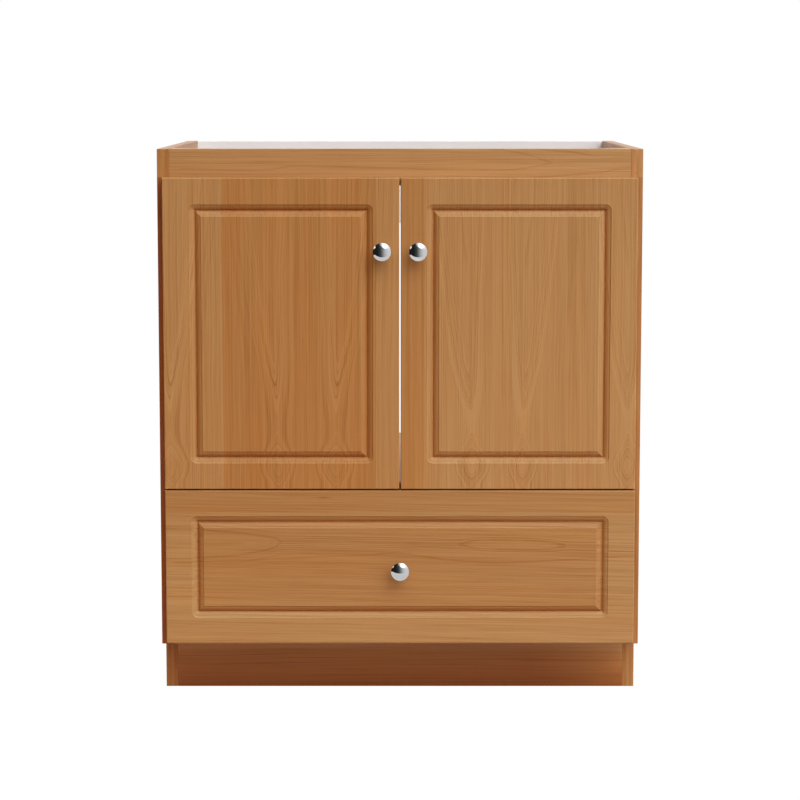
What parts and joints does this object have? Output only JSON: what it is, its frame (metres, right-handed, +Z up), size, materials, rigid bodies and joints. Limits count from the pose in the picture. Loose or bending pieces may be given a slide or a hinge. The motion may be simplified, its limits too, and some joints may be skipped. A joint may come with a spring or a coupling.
{
  "type": "sink base cabinet",
  "caption": "Frameless sink base cabinet, open at the top and back, with raised-panel doors above a full-width drawer, a recessed toe kick and domed knobs.",
  "frame": {"origin": "on the floor, midway across the width and midway between the knob tips and the back", "axes": "+X to the right seen from the front, +Y from the front to the back, +Z up"},
  "size_m": [0.762, 0.582, 0.8763],
  "materials": {
    "front_wood": "satin lacquer",
    "side_wood": "satin lacquer",
    "rail_wood": "satin lacquer",
    "interior_wood": "clear coat",
    "block_wood": "bare",
    "white_board": "matt white melamine",
    "drawer_wood": "clear coat",
    "drawer_ply": "clear coat",
    "slide_steel": "zinc plated",
    "ball_steel": "polished balls in a plain retainer",
    "hinge_nickel": "nickel plated",
    "knob_chrome": "polished",
    "screw_steel": "zinc plated",
    "bumper_soft": "clear soft"
  },
  "bodies": {
    "carcass": {"side_panel_left": "side_wood", "side_panel_right": "side_wood", "top_rail": "rail_wood", "mid_rail": "rail_wood", "deck_panel": "interior_wood", "bottom_panel": "interior_wood", "toe_board": "rail_wood", "hanging_rail": "white_board", "lower_back_rail": "interior_wood", "corner_blocks": "block_wood", "joint_dowels": "block_wood", "slide_outer_left": "slide_steel", "slide_outer_right": "slide_steel", "slide_outer_screws": "screw_steel", "hinge_plate_left_upper": "hinge_nickel", "hinge_plate_left_lower": "hinge_nickel", "hinge_plate_right_upper": "hinge_nickel", "hinge_plate_right_lower": "hinge_nickel", "hinge_arm_left_upper": "hinge_nickel", "hinge_arm_left_lower": "hinge_nickel", "hinge_arm_right_upper": "hinge_nickel", "hinge_arm_right_lower": "hinge_nickel", "hinge_plate_screws": "screw_steel", "hinge_arm_screws": "screw_steel"},
    "drawer": {"drawer_front": "front_wood", "drawer_box_front": "drawer_wood", "drawer_box_back": "drawer_wood", "drawer_side_left": "drawer_wood", "drawer_side_right": "drawer_wood", "drawer_bottom": "drawer_ply", "drawer_knob": "knob_chrome", "drawer_knob_screw": "screw_steel", "drawer_front_screws": "screw_steel", "drawer_bumpers": "bumper_soft", "slide_inner_left": "slide_steel", "slide_inner_right": "slide_steel", "slide_inner_screws": "screw_steel"},
    "middle_left": {"slide_middle_left": "slide_steel", "ball_cage_left": "ball_steel"},
    "middle_right": {"slide_middle_right": "slide_steel", "ball_cage_right": "ball_steel"},
    "door_left": {"door_panel_left": "front_wood", "hinge_cup_left_upper": "hinge_nickel", "hinge_cup_left_lower": "hinge_nickel", "hinge_pin_left_upper": "hinge_nickel", "hinge_pin_left_lower": "hinge_nickel", "hinge_cup_screws_left": "screw_steel", "door_knob_left": "knob_chrome", "door_knob_screw_left": "screw_steel", "door_bumpers_left": "bumper_soft"},
    "door_right": {"door_panel_right": "front_wood", "hinge_cup_right_upper": "hinge_nickel", "hinge_cup_right_lower": "hinge_nickel", "hinge_pin_right_upper": "hinge_nickel", "hinge_pin_right_lower": "hinge_nickel", "hinge_cup_screws_right": "screw_steel", "door_knob_right": "knob_chrome", "door_knob_screw_right": "screw_steel", "door_bumpers_right": "bumper_soft"}
  },
  "joints": [
    {"name": "door_left_hinge", "type": "hinge", "parent": "carcass", "child": "door_left", "pos_m": [-0.364, -0.25593, 0.6], "axis": [0, 0, -1], "range_deg": [0, 95]},
    {"name": "door_right_hinge", "type": "hinge", "parent": "carcass", "child": "door_right", "pos_m": [0.364, -0.25593, 0.6], "axis": [0, 0, 1], "range_deg": [0, 95]},
    {"name": "drawer_travel", "type": "slide", "parent": "carcass", "child": "drawer", "axis": [0, -1, 0], "range_m": [0, 0.44]},
    {"name": "slide_left_travel", "type": "slide", "parent": "carcass", "child": "middle_left", "axis": [0, -1, 0], "range_m": [0, 0.22]},
    {"name": "slide_right_travel", "type": "slide", "parent": "carcass", "child": "middle_right", "axis": [0, -1, 0], "range_m": [0, 0.22]}
  ],
  "couplings": [
    {"joint": "slide_left_travel", "follows": "drawer_travel", "ratio": 0.5},
    {"joint": "slide_right_travel", "follows": "drawer_travel", "ratio": 0.5}
  ]
}
